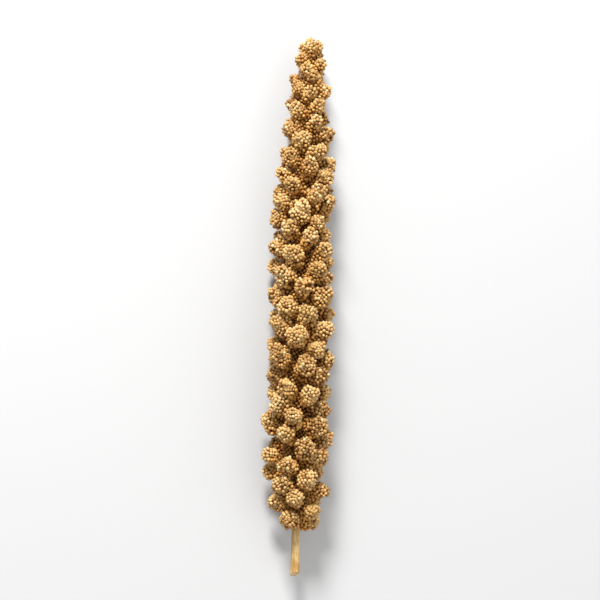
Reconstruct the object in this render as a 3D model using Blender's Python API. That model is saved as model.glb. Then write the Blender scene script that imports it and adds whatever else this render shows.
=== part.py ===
"""A foxtail millet head, cut and dried, lying on its side with its tip towards +Y.

The stem is one piece. The seed head is the other: lobes packed with grains, all grown from
one core, which is the rachis that the stem runs into, thickened by the inner branches.
Units are metres.
"""

import math
import random

import bmesh
import bpy
from mathutils import Matrix, Vector

# Driving dimensions
HEAD_LENGTH = 0.222
HEAD_RADIUS = 0.0162
STEM_LENGTH = 0.020
STEM_RADIUS = 0.0018
LOBE_RADIUS = 0.0054
GRAIN_PITCH = 0.0045
GRAIN_HEIGHT = 0.0009
SEED = 11

# The head's radius along its length, as a share of HEAD_RADIUS: blunt base, long barrel, round tip
BARREL = (
    (0.0, 0.60),
    (0.06, 0.88),
    (0.16, 1.0),
    (0.5, 0.98),
    (0.70, 0.89),
    (0.78, 0.79),
    (0.87, 0.67),
    (0.955, 0.50),
    (1.0, 0.34),
)
# A lobe's size along the head, as a share of LOBE_RADIUS
LOBE_SIZES = ((0.0, 0.88), (0.12, 1.0), (0.5, 1.0), (0.8, 0.90), (1.0, 0.68))
# The angle between a lobe and the rachis, in degrees: nearly square at the base, closing to the tip
LOBE_LEANS = ((0.0, 80.0), (0.15, 66.0), (0.7, 56.0), (0.93, 38.0), (1.0, 22.0))
# The area that each lobe has to itself, over the square of its radius: tighter at both ends
LOBE_ROOM = ((0.0, 3.2), (0.1, 3.8), (0.45, 3.8), (0.75, 3.4), (1.0, 3.0))

# The core's line as the head lies: highest at the crest, sagging to both ends, drifting sideways
AXIS_HEIGHT = 0.0153
AXIS_CREST = 0.37
AXIS_SAG = 0.0130
AXIS_DRIFT = 0.0085
# The origin's place along the head and across it, under the middle of the box
CENTRE_X = 0.0010
CENTRE_Y = 0.1005

CORE_RADII = ((0.0, 0.0032), (0.05, 0.0052), (0.16, 0.007), (0.5, 0.0068), (0.8, 0.0054), (1.0, 0.0026))
CORE_SIDES = 8
CORE_RINGS = 14
STEM_SIDES = 12
STEM_RINGS = 7
STEM_FLARE = 1.12
SOCKET_DEPTH = 0.008
CLEARANCE = 0.0003
CUT_SLANT = 0.0011
PITH_SHARE = 0.45
PITH_DEPTH = 0.0007

# The lobes' places and what each may vary by
GOLDEN_ANGLE = math.pi * (3 - math.sqrt(5))
FIRST_LOBE = 0.0027
LEAST_OUT = 0.3
LEAST_RING = 0.7
TIP_ROOT = 3.0
ANGLE_JITTER = math.radians(9)
STATION_JITTER = 0.0012
SIZE_JITTER = 0.14
REACH_JITTER = 0.08
LEAN_JITTER = 5.0
SHORTEST, LONGEST = 1.06, 1.34

# A lobe's own shape: how far its grains reach round it, and its root
CAP_ANGLE = math.radians(118)
ROOT_RADIUS = 0.0008
ROOT_SIDES = 3
FEWEST_HOLLOWS = 8

GRAIN_COLOUR = (0.50, 0.31, 0.125, 1.0)
GRAIN_ROUGHNESS = 0.45
STRAW_COLOUR = (0.52, 0.38, 0.17, 1.0)
STRAW_ROUGHNESS = 0.6


def along(points, u):
    """The value at u on the straight runs through (place, value) points."""
    for (u0, v0), (u1, v1) in zip(points, points[1:]):
        if u <= u1:
            return v0 + (v1 - v0) * max(u - u0, 0.0) / (u1 - u0)
    return points[-1][1]


def axis_point(station):
    """The rachis at that distance from the head's base, negative down the stem."""
    u = station / HEAD_LENGTH
    return Vector(
        (
            AXIS_DRIFT * u * abs(u) - CENTRE_X,
            station - CENTRE_Y,
            AXIS_HEIGHT - AXIS_SAG * (u - AXIS_CREST) ** 2,
        )
    )


def axis_frame(station):
    """The rachis's direction there, and two directions square to it, level and upward."""
    step = 0.0005
    forward = (axis_point(station + step) - axis_point(station - step)).normalized()
    level = forward.cross(Vector((0, 0, 1))).normalized()
    return forward, level, level.cross(forward)


def lobe_layout():
    """Each lobe as (root, centre, radius, length share, turn), up a golden spiral from base to tip."""
    draw = random.Random(SEED)
    lobes = []
    station = FIRST_LOBE
    last = HEAD_LENGTH - LOBE_RADIUS * along(LOBE_SIZES, 1.0)
    while station < last:
        u = station / HEAD_LENGTH
        size = LOBE_RADIUS * along(LOBE_SIZES, u)
        radius = size * draw.uniform(1 - SIZE_JITTER, 1 + SIZE_JITTER)
        stretch = draw.uniform(SHORTEST, LONGEST)
        reach = HEAD_RADIUS * along(BARREL, u) * draw.uniform(1 - REACH_JITTER, 1 + REACH_JITTER)
        out = max(reach - radius * (1 + stretch) / 2, LEAST_OUT * radius)
        lean = math.radians(along(LOBE_LEANS, u) + draw.uniform(-LEAN_JITTER, LEAN_JITTER))
        turn = len(lobes) * GOLDEN_ANGLE + draw.uniform(-ANGLE_JITTER, ANGLE_JITTER)
        place = station + draw.uniform(-STATION_JITTER, STATION_JITTER)
        _, level, upward = axis_frame(place)
        centre = axis_point(place) + (level * math.cos(turn) + upward * math.sin(turn)) * out
        root = axis_point(place - out / math.tan(lean))
        lobes.append((root, centre, radius, stretch, draw.uniform(0, 2 * math.pi)))
        ring = 2 * math.pi * max(HEAD_RADIUS * along(BARREL, u) - size, LEAST_RING * size)
        station += along(LOBE_ROOM, u) * size**2 / ring
    radius = LOBE_RADIUS * along(LOBE_SIZES, 1.0)
    lobes.append((axis_point(last - TIP_ROOT * radius), axis_point(last), radius, SHORTEST, 0.0))
    return lobes


def material(name, colour, roughness):
    made = bpy.data.materials.new(name)
    made.use_nodes = True
    shader = made.node_tree.nodes["Principled BSDF"]
    shader.inputs["Base Color"].default_value = colour
    shader.inputs["Roughness"].default_value = roughness
    shader.inputs["Metallic"].default_value = 0.0
    return made


def new_object(name, shape, collection):
    mesh = bpy.data.meshes.new(name)
    shape.to_mesh(mesh)
    shape.free()
    made = bpy.data.objects.new(name, mesh)
    collection.objects.link(made)
    return made


def spaced(first, last, count):
    return [first + (last - first) * index / (count - 1) for index in range(count)]


def tube(stations, radius_at, sides, slant=0.0):
    """A round bar along the rachis line. slant tips its first ring, as a slanting cut does."""
    shape = bmesh.new()
    rings = []
    for index, station in enumerate(stations):
        forward, level, upward = axis_frame(station)
        turn = Matrix((level, upward, forward)).transposed().to_4x4()
        place = Matrix.Translation(axis_point(station)) @ turn
        made = bmesh.ops.create_circle(
            shape, cap_ends=False, segments=sides, radius=radius_at(station), matrix=place
        )
        if index == 0:
            for vert in made["verts"]:
                height = (vert.co - axis_point(station)).dot(upward)
                vert.co += forward * slant * height / radius_at(station)
        rings.append(list(dict.fromkeys(edge for vert in made["verts"] for edge in vert.link_edges)))
    for lower, upper in zip(rings, rings[1:]):
        bmesh.ops.bridge_loops(shape, edges=lower + upper)
    bmesh.ops.edgeloop_fill(shape, edges=rings[0])
    bmesh.ops.edgeloop_fill(shape, edges=rings[-1])
    bmesh.ops.recalc_face_normals(shape, faces=shape.faces)
    return shape


def stem_radius(station):
    """The stem thickens a little towards its cut end."""
    share = max(-station, 0.0) / STEM_LENGTH
    return STEM_RADIUS * (1 + (STEM_FLARE - 1) * share)


def socket_radius(station):
    return stem_radius(station) + CLEARANCE


def core_radius(station):
    return along(CORE_RADII, station / HEAD_LENGTH)


def stem():
    """The cut stalk: its top sits in the head's socket, and its slanting cut shows the pith."""
    top = SOCKET_DEPTH - CLEARANCE
    shape = tube(spaced(-STEM_LENGTH, top, STEM_RINGS), stem_radius, STEM_SIDES, CUT_SLANT)
    cut_end = min(shape.faces, key=lambda face: face.calc_center_median().y)
    width = stem_radius(-STEM_LENGTH) * PITH_SHARE
    bmesh.ops.inset_region(shape, faces=[cut_end], thickness=width, depth=0.0)
    inner = min(
        (face for face in shape.faces if len(face.verts) == STEM_SIDES),
        key=lambda face: face.calc_center_median().y,
    )
    forward, _, _ = axis_frame(-STEM_LENGTH)
    pressed = bmesh.ops.extrude_discrete_faces(shape, faces=[inner])["faces"][0]
    bmesh.ops.translate(shape, verts=list(pressed.verts), vec=forward * PITH_DEPTH)
    made = new_object("stem", shape, bpy.context.scene.collection)
    made.data.materials.append(material("straw", STRAW_COLOUR, STRAW_ROUGHNESS))


def hollow_points(radius, length, turn):
    """The low points between grains over a lobe's rounded end, on a sunflower spiral about its +Z."""
    ball = 4 * math.pi * radius * length
    cap = (1 - math.cos(CAP_ANGLE)) / 2
    count = max(FEWEST_HOLLOWS, round(cap * ball / GRAIN_PITCH**2))
    points = []
    for index in range(count):
        rise = 1 - (index + 0.5) / count * 2 * cap
        ring = math.sqrt(1 - rise**2)
        angle = turn + index * GOLDEN_ANGLE
        points.append((radius * ring * math.cos(angle), radius * ring * math.sin(angle), length * rise))
    return points


def lobe(root, centre, radius, stretch, turn):
    """One lobe: a drop that narrows to its root in the rachis, with grains standing out all over it."""
    length = radius * stretch
    direction = centre - root
    shape = bmesh.new()
    low_points = hollow_points(radius - GRAIN_HEIGHT, length - GRAIN_HEIGHT, turn)
    hollows = {shape.verts.new(point) for point in low_points}
    foot = Matrix.Translation((0, 0, -direction.length))
    bmesh.ops.create_circle(shape, segments=ROOT_SIDES, radius=ROOT_RADIUS, matrix=foot)
    bmesh.ops.convex_hull(shape, input=list(shape.verts))
    covered = [face for face in shape.faces if all(vert in hollows for vert in face.verts)]
    for grain in bmesh.ops.poke(shape, faces=covered)["verts"]:
        x, y, z = grain.co
        grain.co /= math.hypot(x / radius, y / radius, z / length)
    place = Matrix.Translation(centre) @ direction.to_track_quat("Z", "Y").to_matrix().to_4x4()
    bmesh.ops.transform(shape, matrix=place, verts=shape.verts)
    bmesh.ops.recalc_face_normals(shape, faces=shape.faces)
    return shape


def apply_modifiers(body):
    """Fixes the body's Booleans into its mesh."""
    graph = bpy.context.evaluated_depsgraph_get()
    mesh = bpy.data.meshes.new_from_object(body.evaluated_get(graph))
    body.modifiers.clear()
    body.data = mesh


def keep_outer_surface(shape):
    """Fills the hollows that the lobes seal between them, by dropping every shell but the largest."""
    shells = []
    waiting = set(shape.verts)
    while waiting:
        shell = []
        reached = [waiting.pop()]
        while reached:
            vert = reached.pop()
            shell.append(vert)
            beside = {edge.other_vert(vert) for edge in vert.link_edges} & waiting
            waiting -= beside
            reached.extend(beside)
        shells.append(shell)
    shells.sort(key=len)
    spare = [vert for shell in shells[:-1] for vert in shell]
    bmesh.ops.delete(shape, geom=spare, context="VERTS")


def seed_head():
    """The core with every lobe joined to it, the socket for the stem, and flats where it lies."""
    scene = bpy.context.scene
    tip = HEAD_LENGTH - LOBE_RADIUS
    shape = tube(spaced(0.0, tip, CORE_RINGS), core_radius, CORE_SIDES)
    body = new_object("seed_head", shape, scene.collection)

    group = bpy.data.collections.new("lobes")
    scene.collection.children.link(group)
    for index, place in enumerate(lobe_layout()):
        new_object(f"lobe_{index + 1}", lobe(*place), group)
    union = body.modifiers.new("lobes on the core", "BOOLEAN")
    union.operation = "UNION"
    union.operand_type = "COLLECTION"
    union.collection = group
    union.solver = "EXACT"

    shape = tube(spaced(-STEM_LENGTH, SOCKET_DEPTH, STEM_RINGS), socket_radius, STEM_SIDES)
    cutter = new_object("socket_cutter", shape, scene.collection)
    socket = body.modifiers.new("socket", "BOOLEAN")
    socket.operation = "DIFFERENCE"
    socket.object = cutter
    socket.solver = "EXACT"
    apply_modifiers(body)
    for spare in [*group.objects, cutter]:
        bpy.data.objects.remove(spare)
    bpy.data.collections.remove(group)

    shape = bmesh.new()
    shape.from_mesh(body.data)
    keep_outer_surface(shape)
    everything = [*shape.verts, *shape.edges, *shape.faces]
    bmesh.ops.bisect_plane(
        shape, geom=everything, dist=1e-7, plane_co=(0, 0, 0), plane_no=(0, 0, 1), clear_inner=True
    )
    rims = [edge for edge in shape.edges if edge.is_boundary]
    bmesh.ops.holes_fill(shape, edges=rims)
    bmesh.ops.recalc_face_normals(shape, faces=shape.faces)
    shape.to_mesh(body.data)
    shape.free()
    body.data.materials.clear()
    body.data.materials.append(material("millet_grain", GRAIN_COLOUR, GRAIN_ROUGHNESS))


def main():
    for old in list(bpy.data.objects):
        bpy.data.objects.remove(old)
    stem()
    seed_head()


main()
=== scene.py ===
"""A dried foxtail millet head lying on a pale floor, seen from above with its tip up the picture.

Every lobe stands where the solid head has it, and carries its grains one by one. Units are metres.
"""

import math
import random
from collections import namedtuple

import bmesh
import bpy
import numpy as np
from mathutils import Matrix, Vector, noise


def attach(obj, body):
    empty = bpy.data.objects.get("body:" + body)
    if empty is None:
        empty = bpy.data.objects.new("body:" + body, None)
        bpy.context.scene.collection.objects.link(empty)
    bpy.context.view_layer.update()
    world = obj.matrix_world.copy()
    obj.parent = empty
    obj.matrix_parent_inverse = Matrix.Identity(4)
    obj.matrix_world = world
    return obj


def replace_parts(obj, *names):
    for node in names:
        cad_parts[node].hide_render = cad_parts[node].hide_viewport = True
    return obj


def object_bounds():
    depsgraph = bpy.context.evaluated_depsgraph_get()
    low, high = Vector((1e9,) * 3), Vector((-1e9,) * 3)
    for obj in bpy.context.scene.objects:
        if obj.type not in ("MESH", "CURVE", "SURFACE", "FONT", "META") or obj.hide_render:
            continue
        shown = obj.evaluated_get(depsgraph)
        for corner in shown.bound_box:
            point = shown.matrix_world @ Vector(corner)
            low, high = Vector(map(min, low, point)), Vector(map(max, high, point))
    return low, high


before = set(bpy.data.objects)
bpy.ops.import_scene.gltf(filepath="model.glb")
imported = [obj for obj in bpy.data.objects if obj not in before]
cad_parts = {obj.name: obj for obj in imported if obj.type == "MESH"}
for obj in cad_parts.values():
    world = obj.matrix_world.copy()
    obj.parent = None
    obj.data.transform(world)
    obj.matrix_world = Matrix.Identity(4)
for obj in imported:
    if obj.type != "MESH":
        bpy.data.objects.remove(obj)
cad_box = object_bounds()

# The head, as the solids have it
HEAD_LENGTH = 0.222
HEAD_RADIUS = 0.0162
STEM_LENGTH = 0.020
STEM_RADIUS = 0.0018
STEM_FLARE = 1.12
LOBE_RADIUS = 0.0054
SEED = 11
# The head's radius along its length, as a share of HEAD_RADIUS
BARREL = (
    (0.0, 0.60),
    (0.06, 0.88),
    (0.16, 1.0),
    (0.5, 0.98),
    (0.70, 0.89),
    (0.78, 0.79),
    (0.87, 0.67),
    (0.955, 0.50),
    (1.0, 0.34),
)
# A lobe's size along the head, as a share of LOBE_RADIUS
LOBE_SIZES = ((0.0, 0.88), (0.12, 1.0), (0.5, 1.0), (0.8, 0.90), (1.0, 0.68))
# The angle between a lobe and the rachis, in degrees: nearly square at the base, closing to the tip
LOBE_LEANS = ((0.0, 80.0), (0.15, 66.0), (0.7, 56.0), (0.93, 38.0), (1.0, 22.0))
# The area that each lobe has to itself, over the square of its radius
LOBE_ROOM = ((0.0, 3.2), (0.1, 3.8), (0.45, 3.8), (0.75, 3.4), (1.0, 3.0))
# The rachis's line: highest at the crest, sagging to both ends and drifting sideways
AXIS_HEIGHT = 0.0153
AXIS_CREST = 0.37
AXIS_SAG = 0.0130
AXIS_DRIFT = 0.0085
# The origin's place across the head and along it, under the middle of the box
CENTRE_X = 0.0010
CENTRE_Y = 0.1005
# The lobes' places up the spiral: the first one's, and then in radii of a lobe how near the rachis they
# may be, the least ring that they share, and how far the last one's root is below its centre
GOLDEN_ANGLE = math.pi * (3 - math.sqrt(5))
FIRST_LOBE = 0.0027
LEAST_OUT = 0.3
LEAST_RING = 0.7
TIP_ROOT = 3.0
# What a lobe may vary by, and its length over its radius at the least and the most
ANGLE_JITTER = math.radians(9)
STATION_JITTER = 0.0012
SIZE_JITTER = 0.14
REACH_JITTER = 0.08
LEAN_JITTER = 5.0
SHORTEST, LONGEST = 1.06, 1.34

# One grain: its size, how far its point stands out, and how many sides it has
GRAIN_LENGTH = 0.0022
GRAIN_WIDTH = 0.00164
GRAIN_THICKNESS = 0.00150
GRAIN_POINT = 0.00005
GRAIN_SIDES = 8
# A grain's rings from its root to its tip: their heights and widths, as shares of its own
GRAIN_PROFILE = ((-0.36, 0.52), (-0.10, 0.95), (0.15, 0.97), (0.37, 0.64))
# The inner grains, in the gaps between the lobes, have fewer of both
INNER_SIDES = 7
INNER_PROFILE = ((-0.30, 0.60), (0.02, 1.0), (0.32, 0.72))
# How far apart the grains stand, and how far inside a lobe's surface the middle of each is
GRAIN_PITCH = 0.00172
GRAIN_SINK = 0.00100
# The smallest and largest grain, as shares of the size above, and how far askew one may lean
GRAIN_SIZES = (0.84, 1.14)
GRAIN_TILT = 0.32
# Some grains sit lower than the ones beside them, by this much at most
GRAIN_DROP = 0.0005
# How the scattered grains push each other apart: the rounds, each round's push, and its reach in pitches
SPREAD_STEPS = 12
SPREAD_RATE = 0.35
SPREAD_REACH = 1.30
# How far a grain turns from the lobe's surface towards the lobe's own tip
FORWARD_SHARE = 0.30
# A lobe is round down to its waist, at this share of its length from its centre, and a cone below it
WAIST = -0.42
ROOT_WIDTH = 0.0014
# A grain is left out where its middle would stand deeper than this under a neighbouring lobe's surface
BURIED = 0.0007
# Soft hollows that break a lobe into clumps: their depth, their size, and the noise under which one starts
SWELL_DEPTH = 0.0024
SWELL_SIZE = 0.0036
SWELL_LEVEL = 0.30
# A grain has fallen out where noise of this size is below this level
FALLEN_SIZE = 0.0009
FALLEN_LEVEL = -0.60
# Tones run from brown at 0 to bleached at 1: a lobe's own, its grains' round it, and the odd ones'
LOBE_TONE = 0.52
LOBE_TONE_SPREAD = 0.09
GRAIN_TONE_SPREAD = 0.10
ODD_SHARE = 0.07
BROWN_TONES = (0.10, 0.32)
BLEACHED_TONES = (0.80, 1.0)
# A lobe's grains take painted shade from this height down, growing to full over this span, both as shares
# of its length
PAINTED_SHADE_START = 0.45
PAINTED_SHADE_SPAN = 1.10
# The lobes' grains are in this many pieces
ZONES = 7

# The heart of each lobe, painted dark brown as its shade, this far under its surface, with lumps and a neck
# down to its root
HEART_INSET = 0.0020
HEART_SUBDIVISIONS = 3
HEART_LUMP = 0.0005
HEART_LUMP_SIZE = 0.0009
NECK_SIDES = 12
NECK_ROOT = 0.0008
# The stalk inside the head
RACHIS_START = 0.008
RACHIS_RADII = ((0.0, 0.0016), (0.1, 0.0019), (0.6, 0.0016), (1.0, 0.0007))
RACHIS_SIDES = 16
RACHIS_RINGS = 60
# The core that the lobes stand on ends here, and inner grains fill its dark gaps, at these radii
CORE_END = HEAD_LENGTH - LOBE_RADIUS
INNER_RADII = ((0.0, 0.0026), (0.05, 0.0040), (0.16, 0.0056), (0.5, 0.0056), (0.8, 0.0046), (1.0, 0.0020))
INNER_START = 0.002
INNER_PITCH = 0.00152
INNER_BURIED = 0.0006
# The lobes' grains may stand this far inside those radii
INNER_OVERLAP = 0.0006
# Painted shade on the inner grains in the gaps: a browner tone than the lobes', and the share of their
# colour that it leaves
INNER_TONE = 0.40
INNER_SHADE = 0.70
# The tangle of side branches, this far under the inner grains, and its lumps
TANGLE_INSET = 0.0010
TANGLE_SIDES = 24
TANGLE_RINGS = 150
TANGLE_LUMP = 0.0012
TANGLE_LUMP_SIZE = 0.0016

# The stem runs on into the head, with fine ribs and a slanting cut
CUT_SLANT = 0.0011
STEM_TOP = 0.012
STEM_SIDES = 96
STEM_RINGS = 30
RIBS = 16
RIB_HEIGHT = 0.00007
# The hollow at the cut, as a share of the stem's radius and by its depth, and the pith that fills it
HOLLOW_SHARE = 0.52
HOLLOW_DEPTH = 0.0015
PITH_WIDTH = 0.82
PITH_DEPTH = 0.00018
PITH_LENGTH = 0.0020
PITH_RINGS = 3

# The camera stands where the photograph was taken from: to the left of the head and below its middle
CAMERA_YAW = math.radians(20)
CAMERA_PITCH = math.radians(6)
CAMERA_DISTANCE = 0.77
CAMERA_LENS = 104.0

# The floor and the light on it: a soft key from the tip's side, a weak fill, and the pale room
FLOOR_SIZE = 3.0
FLOOR_COLOUR = (0.45, 0.45, 0.45, 1.0)
ROOM_LIGHT = 0.74
KEY_PLACE = (-0.405, 1.0125, 0.7425)
KEY_SIZE = 0.324
KEY_POWER = 38.3
FILL_PLACE = (0.50, -0.50, 0.60)
FILL_SIZE = 0.9
FILL_POWER = 3.0

# A lobe stands along its axis from its root on the rachis. Its radius and its length are half its size.
Lobe = namedtuple("Lobe", "root centre axis radius length")


def along(points, u):
    """The value at u on the straight runs through (place, value) points."""
    for (u0, v0), (u1, v1) in zip(points, points[1:]):
        if u <= u1:
            return v0 + (v1 - v0) * max(u - u0, 0.0) / (u1 - u0)
    return points[-1][1]


def axis_point(station):
    """The rachis at that distance from the head's base, negative down the stem."""
    u = station / HEAD_LENGTH
    return Vector(
        (
            AXIS_DRIFT * u * abs(u) - CENTRE_X,
            station - CENTRE_Y,
            AXIS_HEIGHT - AXIS_SAG * (u - AXIS_CREST) ** 2,
        )
    )


def axis_frame(station):
    """The rachis's direction there, and two directions square to it, level and upward."""
    step = 0.0005
    forward = (axis_point(station + step) - axis_point(station - step)).normalized()
    level = forward.cross(Vector((0, 0, 1))).normalized()
    return forward, level, level.cross(forward)


def lobe_layout():
    """The lobes, up a golden spiral from base to tip, with the solid head's own draws in its order."""
    draw = random.Random(SEED)
    lobes = []

    def grow(root, centre, radius, stretch):
        lobes.append(Lobe(root, centre, (centre - root).normalized(), radius, radius * stretch))

    station = FIRST_LOBE
    last = HEAD_LENGTH - LOBE_RADIUS * along(LOBE_SIZES, 1.0)
    while station < last:
        u = station / HEAD_LENGTH
        size = LOBE_RADIUS * along(LOBE_SIZES, u)
        radius = size * draw.uniform(1 - SIZE_JITTER, 1 + SIZE_JITTER)
        stretch = draw.uniform(SHORTEST, LONGEST)
        reach = HEAD_RADIUS * along(BARREL, u) * draw.uniform(1 - REACH_JITTER, 1 + REACH_JITTER)
        out = max(reach - radius * (1 + stretch) / 2, LEAST_OUT * radius)
        lean = math.radians(along(LOBE_LEANS, u) + draw.uniform(-LEAN_JITTER, LEAN_JITTER))
        turn = len(lobes) * GOLDEN_ANGLE + draw.uniform(-ANGLE_JITTER, ANGLE_JITTER)
        place = station + draw.uniform(-STATION_JITTER, STATION_JITTER)
        _, level, upward = axis_frame(place)
        centre = axis_point(place) + (level * math.cos(turn) + upward * math.sin(turn)) * out
        root = axis_point(place - out / math.tan(lean))
        grow(root, centre, radius, stretch)
        # The solid head draws a turn here for each lobe's few large grains, which this one doesn't have
        draw.random()
        ring = 2 * math.pi * max(HEAD_RADIUS * along(BARREL, u) - size, LEAST_RING * size)
        station += along(LOBE_ROOM, u) * size**2 / ring
    radius = LOBE_RADIUS * along(LOBE_SIZES, 1.0)
    grow(axis_point(last - TIP_ROOT * radius), axis_point(last), radius, SHORTEST)
    return lobes


def depth_in(points, lobe):
    """How far each point is from a lobe's centre, as a share of the way to its surface."""
    away = points - np.array(lobe.centre)
    rise = away @ np.array(lobe.axis)
    across = np.maximum((away**2).sum(axis=1) - rise**2, 0.0)
    return np.sqrt(across / lobe.radius**2 + rise**2 / lobe.length**2)


def swell_at(point):
    """How much of a hollow, from 0 for none, sinks the lobes at a point, between their clumps."""
    return max(SWELL_LEVEL - noise.noise(Vector(point) / SWELL_SIZE), 0.0)


def swell_depth(lobe):
    """How far a whole hollow sinks a lobe's surface. Small lobes are smoother."""
    return SWELL_DEPTH * (lobe.radius / LOBE_RADIUS) ** 2


def neighbours_of(lobe, lobes):
    """The lobes that may cover some of this one's grains."""
    reach = max(lobe.length, (lobe.centre - lobe.root).length)
    return [
        other
        for other in lobes
        if other is not lobe and (other.centre - lobe.centre).length < reach + other.length
    ]


def clear_of(points, lobes, deepest):
    """Which points lie no deeper than that under the surface of any of the lobes, hollows and all."""
    hollows = np.array([swell_at(point) for point in points])
    clear = np.ones(len(points), bool)
    for lobe in lobes:
        under = deepest + swell_depth(lobe) * hollows
        clear &= depth_in(points, lobe) > 1 - under / lobe.radius
    return clear


# Materials

# Noise on a piece stays mostly between these
NOISE_RUN = (0.3, 0.7)
BLACK = (0.0, 0.0, 0.0, 1.0)


class Nodes:
    """A shorthand for building one material's node tree."""

    def __init__(self, name):
        self.material = bpy.data.materials.new(name)
        self.material.use_nodes = True
        self.tree = self.material.node_tree
        self.shader = self.tree.nodes["Principled BSDF"]

    def add(self, kind, inputs=None, **settings):
        """Adds a node, with its settings and what goes into its sockets."""
        node = self.tree.nodes.new(kind)
        for name, value in settings.items():
            setattr(node, name, value)
        for name, value in (inputs or {}).items():
            self.feed(node, name, value)
        return node

    def feed(self, node, name, value):
        """Sets a socket to a value, or links it to another node's output."""
        if isinstance(value, bpy.types.NodeSocket):
            self.tree.links.new(value, node.inputs[name])
        else:
            node.inputs[name].default_value = value

    def attribute(self, name):
        """A number that each vertex of the piece carries."""
        return self.add("ShaderNodeAttribute", attribute_name=name).outputs["Fac"]

    def noise(self, scale, detail=3.0, stretch=None):
        """Noise on the piece's own coordinates, drawn out where stretch is less than 1."""
        place = self.add("ShaderNodeTexCoord").outputs["Object"]
        if stretch:
            place = self.add("ShaderNodeMapping", {"Vector": place, "Scale": stretch}).outputs["Vector"]
        inputs = {"Vector": place, "Scale": scale, "Detail": detail, "Roughness": 0.6}
        return self.add("ShaderNodeTexNoise", inputs).outputs["Fac"]

    def ramp(self, value, stops):
        """The colour at a value, between (place, colour) stops."""
        node = self.add("ShaderNodeValToRGB", {"Fac": value})
        elements = node.color_ramp.elements
        while len(elements) < len(stops):
            elements.new(0.5)
        for element, (place, colour) in zip(elements, stops):
            element.position = place
            element.color = (*colour, 1.0)
        return node.outputs["Color"]

    def spread(self, value, low, high, out_low, out_high):
        """Stretches a value's run from low to high over the run between the other two."""
        inputs = {"Value": value, "From Min": low, "From Max": high, "To Min": out_low, "To Max": out_high}
        return self.add("ShaderNodeMapRange", inputs).outputs["Result"]

    def drift(self, scale, low, high):
        """A value that wanders between low and high over the piece."""
        return self.spread(self.noise(scale), *NOISE_RUN, low, high)

    def maths(self, operation, first, second=0.0):
        """One sum with two values, or with the first alone."""
        node = self.add("ShaderNodeMath", operation=operation)
        self.feed(node, 0, first)
        self.feed(node, 1, second)
        return node.outputs["Value"]

    def mix(self, blend, share, first, second):
        """Mixes two colours, which a Mix node takes by number, as its names stand for numbers too."""
        node = self.add("ShaderNodeMix", data_type="RGBA", blend_type=blend)
        self.feed(node, "Factor", share)
        self.feed(node, 6, first)
        self.feed(node, 7, second)
        return node.outputs[2]

    def bump(self, height, distance, strength):
        """Raises the surface, in its shading alone."""
        inputs = {"Height": height, "Distance": distance, "Strength": strength}
        self.feed(self.shader, "Normal", self.add("ShaderNodeBump", inputs).outputs["Normal"])


# Colours from brown to bleached, against a grain's tone
GRAIN_TONES = (
    (0.00, (0.10, 0.036, 0.008)),
    (0.22, (0.25, 0.121, 0.029)),
    (0.50, (0.44, 0.268, 0.087)),
    (0.78, (0.56, 0.381, 0.158)),
    (1.00, (0.69, 0.525, 0.275)),
)
# A husk's root, darkened to this share of its tip's colour as painted shade between the grains, and how far
# up it the one gives way to the other
PAINTED_ROOT_SHADE = (0.66, 0.33, 0.09)
ROOT_RISE = (0.30, 0.80)
# Painted shade on a lobe's lower grains, towards its root and away from the light on its crown: darker and
# redder
PAINTED_LOBE_SHADE = (0.97, 0.76, 0.40)
# The seam where a grain's two husks meet: its reach, in half widths, and its share of their colour
SEAM_WIDTH = 0.09
SEAM_SHADE = 0.70
# The dry point at a grain's tip
POINT_RISE = (0.955, 1.0)
POINT_SHADE = (0.62, 0.46, 0.30)
# The other colours, each against a noise
# The hearts' dark brown is painted shade deep in the lobes and round the rachis
HEART_SHADE_TONES = ((0.3, (0.075, 0.022, 0.004)), (0.7, (0.20, 0.075, 0.018)))
STRAW_TONES = ((0.28, (0.28, 0.165, 0.058)), (0.48, (0.54, 0.385, 0.165)), (0.72, (0.72, 0.56, 0.285)))
# Brown patches on the straw, as a share of its colour
STRAW_STAIN = (0.72, 0.58, 0.40)
# The rachis is seen in the shade of the lobes
RACHIS_SHADE = 0.35
PITH_TONES = ((0.35, (0.34, 0.24, 0.12)), (0.6, (0.72, 0.60, 0.40)))
# Noises over the grains, each with its cells to a metre and the least and most that it gives: a slow
# drift of tone over the head, a fine one over each husk, and the husks' roughness
HEAD_DRIFT = (160.0, -0.10, 0.10)
HUSK_MOTTLE = (2600.0, -0.07, 0.07)
HUSK_SHEEN = (1500.0, 0.37, 0.55)
# Other noises, by their cells to a metre, some with their detail and how they draw out along the stalk
HUSK_GRAIN = (5200.0, 2.0)
HEART_MOTTLE = 900.0
HEART_CLODS = 1800.0
STRAW_STREAKS = (1300.0, 4.0, (1.0, 0.03, 1.0))
STRAW_FIBRES = (5200.0, 2.0, (1.0, 0.02, 1.0))
STRAW_PATCHES = 150.0
PITH_CELLS = (5200.0, 2.0)
# Reliefs in the shading, each with its height and its strength
HUSK_RELIEF = (0.00004, 0.5)
HEART_RELIEF = (0.0002, 0.8)
STRAW_RELIEF = (0.00016, 0.9)
PITH_RELIEF = (0.0001, 1.0)


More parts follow.
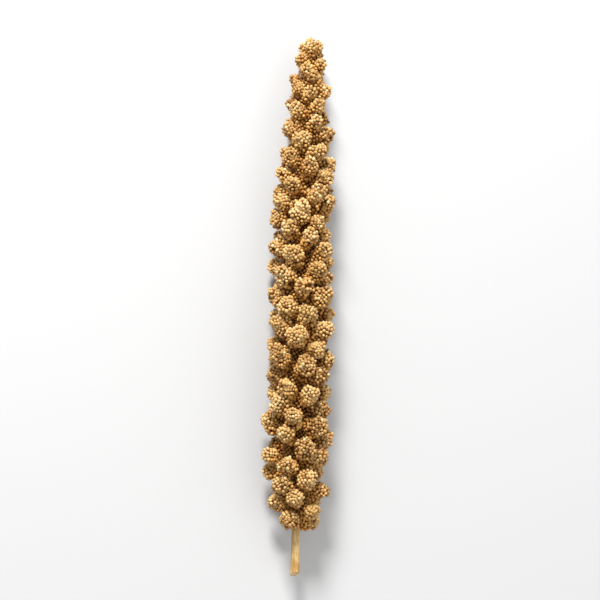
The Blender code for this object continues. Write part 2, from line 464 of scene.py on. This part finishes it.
def grain_material(name, shade):
    """Dry husks: a tone for each grain, a seam, a darker dry point, and painted shade at the root and low
    on a lobe. shade darkens them all, as painted shade.
    """
    made = Nodes(name)
    drift = made.maths("ADD", made.drift(*HEAD_DRIFT), made.drift(*HUSK_MOTTLE))
    husk = made.ramp(made.maths("ADD", made.attribute("tone"), drift), GRAIN_TONES)
    # Painted shade: the grains low on each lobe are tinted darker and redder
    husk = made.mix("MULTIPLY", made.attribute("painted_shade_share"), husk, (*PAINTED_LOBE_SHADE, 1.0))
    # Painted shade: the shade argument darkens each whole grain, and its root more, as the shade between
    # grains; the dry point is its own colour
    pale = (shade, shade, shade)
    root = tuple(part * shade for part in PAINTED_ROOT_SHADE)
    point = tuple(part * shade for part in POINT_SHADE)
    stops = tuple(zip((*ROOT_RISE, *POINT_RISE), (root, pale, pale, point)))
    root_shade_and_point = made.ramp(made.attribute("rise"), stops)
    off_seam = made.spread(made.maths("ABSOLUTE", made.attribute("across")), 0.0, SEAM_WIDTH, 0.0, 1.0)
    lined = made.mix("MIX", made.spread(off_seam, 0.0, 1.0, SEAM_SHADE, 1.0), BLACK, husk)
    made.feed(made.shader, "Base Color", made.mix("MULTIPLY", 1.0, lined, root_shade_and_point))
    made.feed(made.shader, "Roughness", made.drift(*HUSK_SHEEN))
    made.shader.inputs["Specular IOR Level"].default_value = 0.34
    relief = made.maths("ADD", off_seam, made.maths("MULTIPLY", made.noise(*HUSK_GRAIN), 0.8))
    made.bump(relief, *HUSK_RELIEF)
    return made.material


def heart_material():
    """The branches and husk bases deep in a lobe, painted dark brown as the shade there."""
    made = Nodes("inner_husk_shade")
    made.feed(made.shader, "Base Color", made.ramp(made.noise(HEART_MOTTLE), HEART_SHADE_TONES))
    made.shader.inputs["Roughness"].default_value = 0.85
    made.shader.inputs["Specular IOR Level"].default_value = 0.1
    made.bump(made.noise(HEART_CLODS), *HEART_RELIEF)
    return made.material


def straw_material(name, shade):
    """Dry stalk, with fine fibres and darker streaks along it. shade darkens it, as deep in the head."""
    made = Nodes(name)
    streaks = made.noise(*STRAW_STREAKS)
    fibres = made.noise(*STRAW_FIBRES)
    lines = made.maths("ADD", streaks, made.spread(fibres, *NOISE_RUN, -0.13, 0.13))
    colour = made.ramp(lines, STRAW_TONES)
    stain = tuple(part * shade for part in STRAW_STAIN)
    stained = made.ramp(made.noise(STRAW_PATCHES), ((0.38, stain), (0.58, (shade, shade, shade))))
    made.feed(made.shader, "Base Color", made.mix("MULTIPLY", 1.0, colour, stained))
    made.feed(made.shader, "Roughness", made.spread(lines, *NOISE_RUN, 0.68, 0.50))
    made.shader.inputs["Specular IOR Level"].default_value = 0.3
    made.bump(lines, *STRAW_RELIEF)
    return made.material


def pith_material():
    """The pale spongy middle of the cut stalk."""
    made = Nodes("pith")
    cells = made.noise(*PITH_CELLS)
    made.feed(made.shader, "Base Color", made.ramp(cells, PITH_TONES))
    made.shader.inputs["Roughness"].default_value = 0.9
    made.bump(cells, *PITH_RELIEF)
    return made.material


# Pieces and the grain


def finished(name, shape, material):
    """Turns a bmesh into a piece of the head that rides with it."""
    mesh = bpy.data.meshes.new(name)
    shape.to_mesh(mesh)
    shape.free()
    mesh.materials.append(material)
    piece = bpy.data.objects.new(name, mesh)
    bpy.context.scene.collection.objects.link(piece)
    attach(piece, "root")
    return piece


def smooth(shape):
    """Shades every face smoothly into the next."""
    for face in shape.faces:
        face.smooth = True


def grain_template(sides, profile):
    """One plump grain along +Z, with a short point. Each vertex notes how far up and across it stands."""
    shape = bmesh.new()
    bmesh.ops.create_uvsphere(shape, u_segments=sides, v_segments=len(profile) + 1, radius=0.5)
    rising = sorted(shape.verts, key=lambda vert: vert.co.z)
    for index, (height, width) in enumerate(profile):
        for vert in rising[1 + index * sides : 1 + (index + 1) * sides]:
            vert.co *= 0.5 * width / math.hypot(vert.co.x, vert.co.y)
            vert.co.z = height
    bmesh.ops.scale(shape, vec=(GRAIN_WIDTH, GRAIN_THICKNESS, GRAIN_LENGTH), verts=shape.verts)
    rising[-1].co.z += GRAIN_POINT
    rise = shape.verts.layers.float.new("rise")
    across = shape.verts.layers.float.new("across")
    shape.verts.layers.float.new("tone")
    shape.verts.layers.float.new("painted_shade_share")
    for vert in shape.verts:
        vert[rise] = vert.co.z / GRAIN_LENGTH + 0.5
        vert[across] = vert.co.x * 2 / GRAIN_WIDTH
    smooth(shape)
    mesh = bpy.data.meshes.new("grain")
    shape.to_mesh(mesh)
    shape.free()
    return mesh


# The grains on the lobes and between them


def grain_place(point, outward, draw):
    """A matrix that stands a grain there along outward, a little askew, and never under the floor."""
    skew = Vector([draw.uniform(-GRAIN_TILT, GRAIN_TILT) for _ in range(3)])
    turn = (outward + skew).normalized().to_track_quat("Z", "Y").to_matrix()
    turn = turn @ Matrix.Rotation(draw.uniform(0, 2 * math.pi), 3, "Z")
    size = draw.uniform(*GRAIN_SIZES)
    half = Vector((GRAIN_WIDTH / 2, GRAIN_THICKNESS / 2, GRAIN_LENGTH / 2 + GRAIN_POINT)) * size
    reach = math.hypot(*(turn[2][axis] * half[axis] for axis in range(3)))
    seat = Vector((point.x, point.y, max(point.z, reach)))
    return Matrix.Translation(seat) @ turn.to_4x4() @ Matrix.Scale(size, 4)


def lobe_width(rise, wide, tall, root):
    """A lobe's radius at those heights from its centre: round above its waist, a cone to its root below."""
    waist = WAIST * tall
    share = (waist - rise) / (waist + root)
    cone = wide * math.sqrt(1 - WAIST**2) * (1 - share) + ROOT_WIDTH * share
    ball = wide * np.sqrt(np.maximum(1 - (rise / tall) ** 2, 0.0))
    return np.where(rise > waist, ball, cone)


def on_lobe(points, wide, tall, root):
    """Brings points near a lobe's surface onto it. The lobe stands on Z, with its centre at 0."""
    ball = points / np.linalg.norm(points / np.array((wide, wide, tall)), axis=1, keepdims=True)
    rise = np.clip(points[:, 2], -root, WAIST * tall)
    turn = points[:, :2] / np.linalg.norm(points[:, :2], axis=1, keepdims=True)
    cone = np.column_stack((turn * lobe_width(rise, wide, tall, root)[:, None], rise))
    return np.where(points[:, 2:] > WAIST * tall, ball, cone)


def scattered(wide, tall, root, draw):
    """Points over a lobe, scattered and then pushed apart until they stand evenly, in no pattern."""
    # A grain's own room, where every grain has six neighbours
    cell = GRAIN_PITCH**2 * math.sqrt(0.75)
    waist = WAIST * tall
    above = round(2 * math.pi * wide * (tall - waist) / cell)
    below = round(math.pi * (wide + ROOT_WIDTH) * (waist + root) / cell)
    ball = [draw.uniform(waist, tall) for _ in range(above)]
    cone = [draw.uniform(-root, waist) for _ in range(below)]
    rise = np.array(ball + cone)
    turn = np.array([draw.uniform(0, 2 * math.pi) for _ in rise])
    width = lobe_width(rise, wide, tall, root)
    points = np.column_stack((width * np.cos(turn), width * np.sin(turn), rise))
    for _ in range(SPREAD_STEPS):
        away = points[:, None] - points[None]
        gap = np.linalg.norm(away, axis=2) + np.eye(len(points))
        push = np.maximum(1 - gap / (SPREAD_REACH * GRAIN_PITCH), 0) / gap
        points += (away * push[..., None]).sum(axis=1) * SPREAD_RATE * GRAIN_PITCH
        points = on_lobe(points, wide, tall, root)
    return points


def outside_core(point):
    """Whether a point stands out of the inner grains round the rachis."""
    station = point.y + CENTRE_Y
    core = along(INNER_RADII, station / HEAD_LENGTH) - INNER_OVERLAP
    return station > CORE_END or (point - axis_point(station)).length > core


def grain_spots(lobe, neighbours, draw):
    """Where a lobe's grains stand, as (point, outward, share of painted shade)."""
    turn = lobe.axis.to_track_quat("Z", "Y").to_matrix()
    wide, tall = lobe.radius - GRAIN_SINK, lobe.length - GRAIN_SINK
    spots = []
    for x, y, z in scattered(wide, tall, (lobe.centre - lobe.root).length, draw):
        outward = Vector((x, y, max(z, WAIST * tall) * (wide / tall) ** 2)).normalized()
        point = lobe.centre + turn @ Vector((x, y, z))
        leaning = turn @ (outward + Vector((0, 0, FORWARD_SHARE))).normalized()
        if outside_core(point) and noise.noise(point / FALLEN_SIZE) > FALLEN_LEVEL:
            # The share of painted shade that a grain takes, more the lower it stands on its lobe
            painted_shade_share = min(max((PAINTED_SHADE_START - z / tall) / PAINTED_SHADE_SPAN, 0.0), 1.0)
            drop = swell_depth(lobe) * swell_at(point) + draw.uniform(0, GRAIN_DROP)
            spots.append((point - turn @ outward * drop, leaning, painted_shade_share))
    clear = clear_of(np.array([point for point, _, _ in spots]), neighbours, BURIED)
    return [spot for spot, kept in zip(spots, clear) if kept]


def set_grains(shape, template, spots, tones, draw):
    """Adds a copy of the grain at each spot, with its tone and its share of painted shade."""
    for (point, outward, painted_shade_share), tone in zip(spots, tones):
        first = len(shape.verts)
        shape.from_mesh(template)
        shape.verts.ensure_lookup_table()
        layers = shape.verts.layers.float
        fresh = shape.verts[first:]
        bmesh.ops.transform(shape, matrix=grain_place(point, outward, draw), verts=fresh)
        for vert in fresh:
            vert[layers["tone"]] = tone
            vert[layers["painted_shade_share"]] = painted_shade_share


def grain_tones(count, middle, draw):
    """A tone for each grain: most near the lobe's own, a few brown and a few bleached."""
    tones = []
    for _ in range(count):
        kind = draw.random()
        if kind < ODD_SHARE:
            tones.append(draw.uniform(*BROWN_TONES))
        elif kind > 1 - ODD_SHARE:
            tones.append(draw.uniform(*BLEACHED_TONES))
        else:
            tones.append(middle + draw.gauss(0.0, GRAIN_TONE_SPREAD))
    return tones


def lobe_grains(lobe, lobes, template, draw):
    """One lobe's grains, as a mesh of their own, which is quicker than setting them in a whole zone."""
    spots = grain_spots(lobe, neighbours_of(lobe, lobes), draw)
    tones = grain_tones(len(spots), draw.gauss(LOBE_TONE, LOBE_TONE_SPREAD), draw)
    shape = bmesh.new()
    set_grains(shape, template, spots, tones, draw)
    mesh = bpy.data.meshes.new("lobe")
    shape.to_mesh(mesh)
    shape.free()
    return mesh


def grain_pieces(lobes, template, draw):
    """The lobes' grains, in zones from the base to the tip."""
    material = grain_material("millet_husk", 1.0)
    for zone in range(ZONES):
        shape = bmesh.new()
        for lobe in lobes[zone * len(lobes) // ZONES : (zone + 1) * len(lobes) // ZONES]:
            mesh = lobe_grains(lobe, lobes, template, draw)
            shape.from_mesh(mesh)
            bpy.data.meshes.remove(mesh)
        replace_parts(finished(f"grains_{zone + 1}", shape, material), "seed_head")


def inner_grains(lobes, template, draw):
    """Shaded grains close round the rachis, seen in the gaps between the lobes."""
    spots = []
    station = INNER_START
    turn = 0.0
    while station < CORE_END:
        radius = along(INNER_RADII, station / HEAD_LENGTH)
        _, level, upward = axis_frame(station)
        outward = level * math.cos(turn) + upward * math.sin(turn)
        # Inner grains take the full painted shade of a lobe's root
        spots.append((axis_point(station) + outward * radius, outward, 1.0))
        turn += GOLDEN_ANGLE
        station += INNER_PITCH**2 / (2 * math.pi * radius)
    clear = clear_of(np.array([point for point, _, _ in spots]), lobes, INNER_BURIED)
    spots = [spot for spot, kept in zip(spots, clear) if kept]
    shape = bmesh.new()
    set_grains(shape, template, spots, grain_tones(len(spots), INNER_TONE, draw), draw)
    material = grain_material("inner_millet_husk", INNER_SHADE)
    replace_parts(finished("inner_grains", shape, material), "seed_head")


# What is under the grains


def ribbed_tube(places, radius_at, sides, slant=0.0):
    """A round stalk along the rachis line with ribs down it, cut at a slant at its first end."""
    shape = bmesh.new()
    rings = []
    for index, station in enumerate(places):
        forward, level, upward = axis_frame(station)
        turn = Matrix((level, upward, forward)).transposed().to_4x4()
        centre = axis_point(station)
        circle = bmesh.ops.create_circle(
            shape, segments=sides, radius=radius_at(station), matrix=Matrix.Translation(centre) @ turn
        )
        for vert in circle["verts"]:
            away = vert.co - centre
            angle = math.atan2(away.dot(upward), away.dot(level))
            vert.co += away.normalized() * RIB_HEIGHT * (math.cos(angle * RIBS) - 1)
            if index == 0:
                vert.co += forward * slant * away.dot(upward) / radius_at(station)
        rings.append(list(dict.fromkeys(edge for vert in circle["verts"] for edge in vert.link_edges)))
    for lower, upper in zip(rings, rings[1:]):
        bmesh.ops.bridge_loops(shape, edges=lower + upper)
    bmesh.ops.edgeloop_fill(shape, edges=rings[0])
    bmesh.ops.edgeloop_fill(shape, edges=rings[-1])
    bmesh.ops.recalc_face_normals(shape, faces=shape.faces)
    for face in shape.faces:
        face.smooth = len(face.verts) == 4
    return shape


def spaced(first, last, count):
    """Evenly spaced values, both ends among them."""
    return [first + (last - first) * index / (count - 1) for index in range(count)]


def tangle_radius(station):
    """The tangle keeps under the inner grains."""
    return along(INNER_RADII, station / HEAD_LENGTH) - TANGLE_INSET


def tangle(material):
    """The tangle of side branches round the rachis, closed and lumpy, under the inner grains, painted dark
    as shade.
    """
    shape = ribbed_tube(spaced(RACHIS_START, CORE_END, TANGLE_RINGS), tangle_radius, TANGLE_SIDES)
    shape.normal_update()
    for vert in shape.verts:
        # Noise here is 0 on average, so half a lump more keeps nearly all of the tangle under the grains
        sunk = TANGLE_LUMP * (0.5 + noise.noise(vert.co / TANGLE_LUMP_SIZE))
        vert.co -= vert.normal * sunk
    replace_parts(finished("branch_tangle", shape, material), "seed_head")


def add_heart(shape, lobe):
    """Adds the inside of one lobe, painted dark as shade, lumpy and just under its grains, and the neck
    down to its root.
    """
    turn = lobe.axis.to_track_quat("Z", "Y").to_matrix().to_4x4()
    wide = lobe.radius - HEART_INSET
    size = Matrix.Diagonal((wide, wide, lobe.length - HEART_INSET, 1.0))
    place = Matrix.Translation(lobe.centre) @ turn @ size
    ball = bmesh.ops.create_icosphere(shape, subdivisions=HEART_SUBDIVISIONS, radius=1.0, matrix=place)
    for vert in ball["verts"]:
        sunk = swell_depth(lobe) * swell_at(vert.co)
        sunk += HEART_LUMP * noise.noise(vert.co / HEART_LUMP_SIZE)
        vert.co += (lobe.centre - vert.co).normalized() * sunk
    waist = lobe.centre + lobe.axis * WAIST * lobe.length
    bmesh.ops.create_cone(
        shape,
        cap_ends=True,
        segments=NECK_SIDES,
        radius1=NECK_ROOT,
        radius2=wide * math.sqrt(1 - WAIST**2) - NECK_ROOT,
        depth=(waist - lobe.root).length,
        matrix=Matrix.Translation((waist + lobe.root) / 2) @ turn,
    )


def lobe_hearts(lobes, material):
    """The insides of all the lobes, painted dark as shade, kept up off the floor."""
    shape = bmesh.new()
    for lobe in lobes:
        add_heart(shape, lobe)
    for vert in shape.verts:
        vert.co.z = max(vert.co.z, HEART_INSET)
    smooth(shape)
    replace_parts(finished("lobe_hearts", shape, material), "seed_head")


def rachis_radius(station):
    """The rachis is thickest near its base."""
    return along(RACHIS_RADII, station / HEAD_LENGTH)


def rachis(material):
    """The stalk inside the head, seen here and there between the inner grains."""
    places = spaced(RACHIS_START, CORE_END, RACHIS_RINGS)
    shape = ribbed_tube(places, rachis_radius, RACHIS_SIDES)
    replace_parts(finished("rachis", shape, material), "seed_head")


# The stem


def stem_radius(station):
    """The stem thickens a little towards its cut end."""
    share = max(-station, 0.0) / STEM_LENGTH
    return STEM_RADIUS * (1 + (STEM_FLARE - 1) * share)


def stem(material):
    """The cut stalk, hollow for a short way at the cut, where the pith fills it."""
    shape = ribbed_tube(spaced(-STEM_LENGTH, STEM_TOP, STEM_RINGS), stem_radius, STEM_SIDES, CUT_SLANT)
    cut_end = min(shape.faces, key=lambda face: face.calc_center_median().y)
    width = stem_radius(-STEM_LENGTH) * (1 - HOLLOW_SHARE)
    bmesh.ops.inset_region(shape, faces=[cut_end], thickness=width, depth=0.0)
    inner = min(
        (face for face in shape.faces if len(face.verts) == STEM_SIDES),
        key=lambda face: face.calc_center_median().y,
    )
    forward, _, _ = axis_frame(-STEM_LENGTH)
    pressed = bmesh.ops.extrude_discrete_faces(shape, faces=[inner])["faces"][0]
    bmesh.ops.translate(shape, verts=list(pressed.verts), vec=forward * HOLLOW_DEPTH)
    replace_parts(finished("stem_stalk", shape, material), "stem")


def pith_radius(station):
    """Wider than the hollow, whose wall hides its edge."""
    return stem_radius(station) * PITH_WIDTH


def pith():
    """The spongy middle of the cut, a little below its rim."""
    first = -STEM_LENGTH + PITH_DEPTH
    places = spaced(first, first + PITH_LENGTH, PITH_RINGS)
    shape = ribbed_tube(places, pith_radius, STEM_SIDES, CUT_SLANT * PITH_WIDTH)
    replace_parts(finished("cut_pith", shape, pith_material()), "stem")


# The studio


def floor():
    """A pale floor, far wider than the picture."""
    shape = bmesh.new()
    bmesh.ops.create_grid(shape, x_segments=1, y_segments=1, size=FLOOR_SIZE)
    mesh = bpy.data.meshes.new("floor")
    shape.to_mesh(mesh)
    shape.free()
    made = Nodes("pale_floor")
    made.shader.inputs["Base Color"].default_value = FLOOR_COLOUR
    made.shader.inputs["Roughness"].default_value = 0.9
    mesh.materials.append(made.material)
    piece = bpy.data.objects.new("floor", mesh)
    bpy.context.scene.collection.objects.link(piece)


def lamp(name, place, size, power):
    """A square lamp that faces the middle of the head."""
    light = bpy.data.lights.new(name, "AREA")
    light.size = size
    light.energy = power
    seen = bpy.data.objects.new(name, light)
    seen.location = place
    seen.rotation_euler = (-Vector(place)).to_track_quat("-Z", "Y").to_euler()
    bpy.context.scene.collection.objects.link(seen)


def studio():
    """The floor, the lamps and the pale room."""
    floor()
    lamp("key", KEY_PLACE, KEY_SIZE, KEY_POWER)
    lamp("fill", FILL_PLACE, FILL_SIZE, FILL_POWER)
    world = bpy.data.worlds.new("studio")
    world.use_nodes = True
    room = world.node_tree.nodes["Background"].inputs
    room["Color"].default_value = (1.0, 1.0, 1.0, 1.0)
    room["Strength"].default_value = ROOM_LIGHT
    bpy.context.scene.world = world
    bpy.context.scene.view_settings.view_transform = "Standard"


def camera():
    """Looks down on the head, with its tip up the picture."""
    low, high = cad_box
    data = bpy.data.cameras.new("camera")
    data.lens = CAMERA_LENS
    seen = bpy.data.objects.new("camera", data)
    back = Vector(
        (
            -math.sin(CAMERA_YAW) * math.cos(CAMERA_PITCH),
            -math.sin(CAMERA_PITCH),
            math.cos(CAMERA_YAW) * math.cos(CAMERA_PITCH),
        )
    )
    right = Vector((0, 1, 0)).cross(back).normalized()
    seen.matrix_world = Matrix.Translation((low + high) / 2 + back * CAMERA_DISTANCE) @ (
        Matrix((right, back.cross(right), back)).transposed().to_4x4()
    )
    bpy.context.scene.collection.objects.link(seen)
    bpy.context.scene.camera = seen


def main():
    """Dresses the head, and then sets the floor, the light and the camera."""
    draw = random.Random(SEED)
    lobes = lobe_layout()
    grain_pieces(lobes, grain_template(GRAIN_SIDES, GRAIN_PROFILE), draw)
    inner_grains(lobes, grain_template(INNER_SIDES, INNER_PROFILE), draw)
    # One material, painted dark as shade, for the hearts and the tangle
    dark = heart_material()
    lobe_hearts(lobes, dark)
    tangle(dark)
    rachis(straw_material("inner_straw", RACHIS_SHADE))
    stem(straw_material("dry_straw", 1.0))
    pith()
    studio()
    camera()


main()
